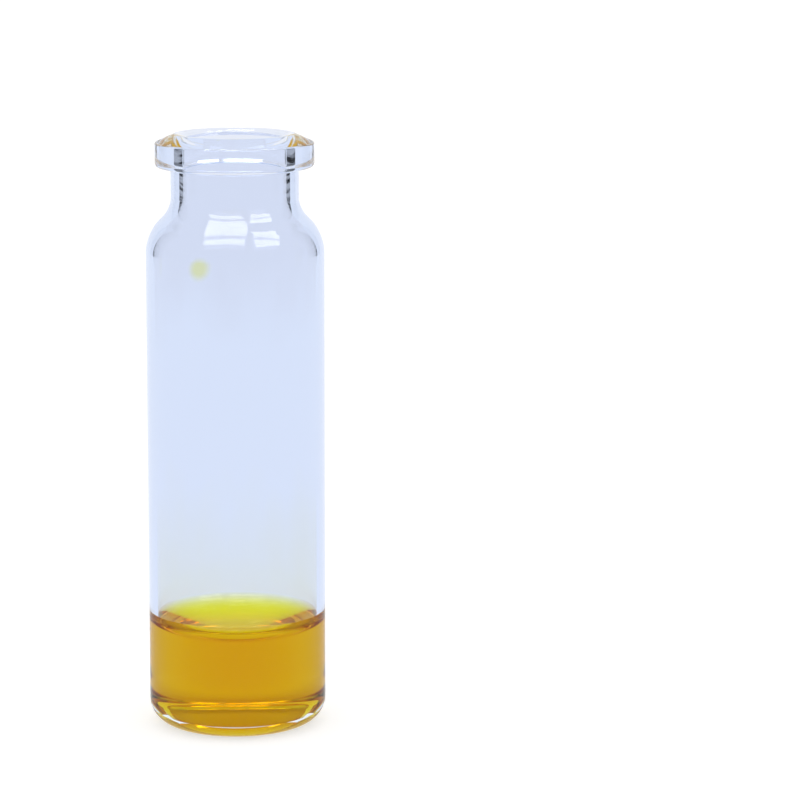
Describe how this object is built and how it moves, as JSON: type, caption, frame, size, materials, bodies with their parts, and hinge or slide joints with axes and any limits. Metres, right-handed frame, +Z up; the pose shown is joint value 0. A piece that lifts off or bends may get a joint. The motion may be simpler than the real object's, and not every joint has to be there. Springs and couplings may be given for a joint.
{
  "type": "glass sample vial",
  "caption": "Clear glass crimp-neck sample vial with a rounded shoulder and a bevelled lip, standing open with a shallow amber liquid sample in its base.",
  "frame": {"origin": "on the vial's axis, at the surface it stands on", "axes": "+Z up along the vial's axis, from the base to the lip; +Y towards the side where the droplet hangs, +X to the right when looking along +Y"},
  "size_m": [0.0225, 0.0224, 0.0755],
  "materials": {
    "clear_glass": "clear polished glass with a faint blue cast",
    "amber_liquid": "clear amber yellow liquid",
    "pale_liquid": "thin pale yellow droplet of the same liquid"
  },
  "bodies": {
    "root": {"vial": "clear_glass", "liquid": "amber_liquid", "liquid_drop": "pale_liquid"}
  },
  "joints": []
}
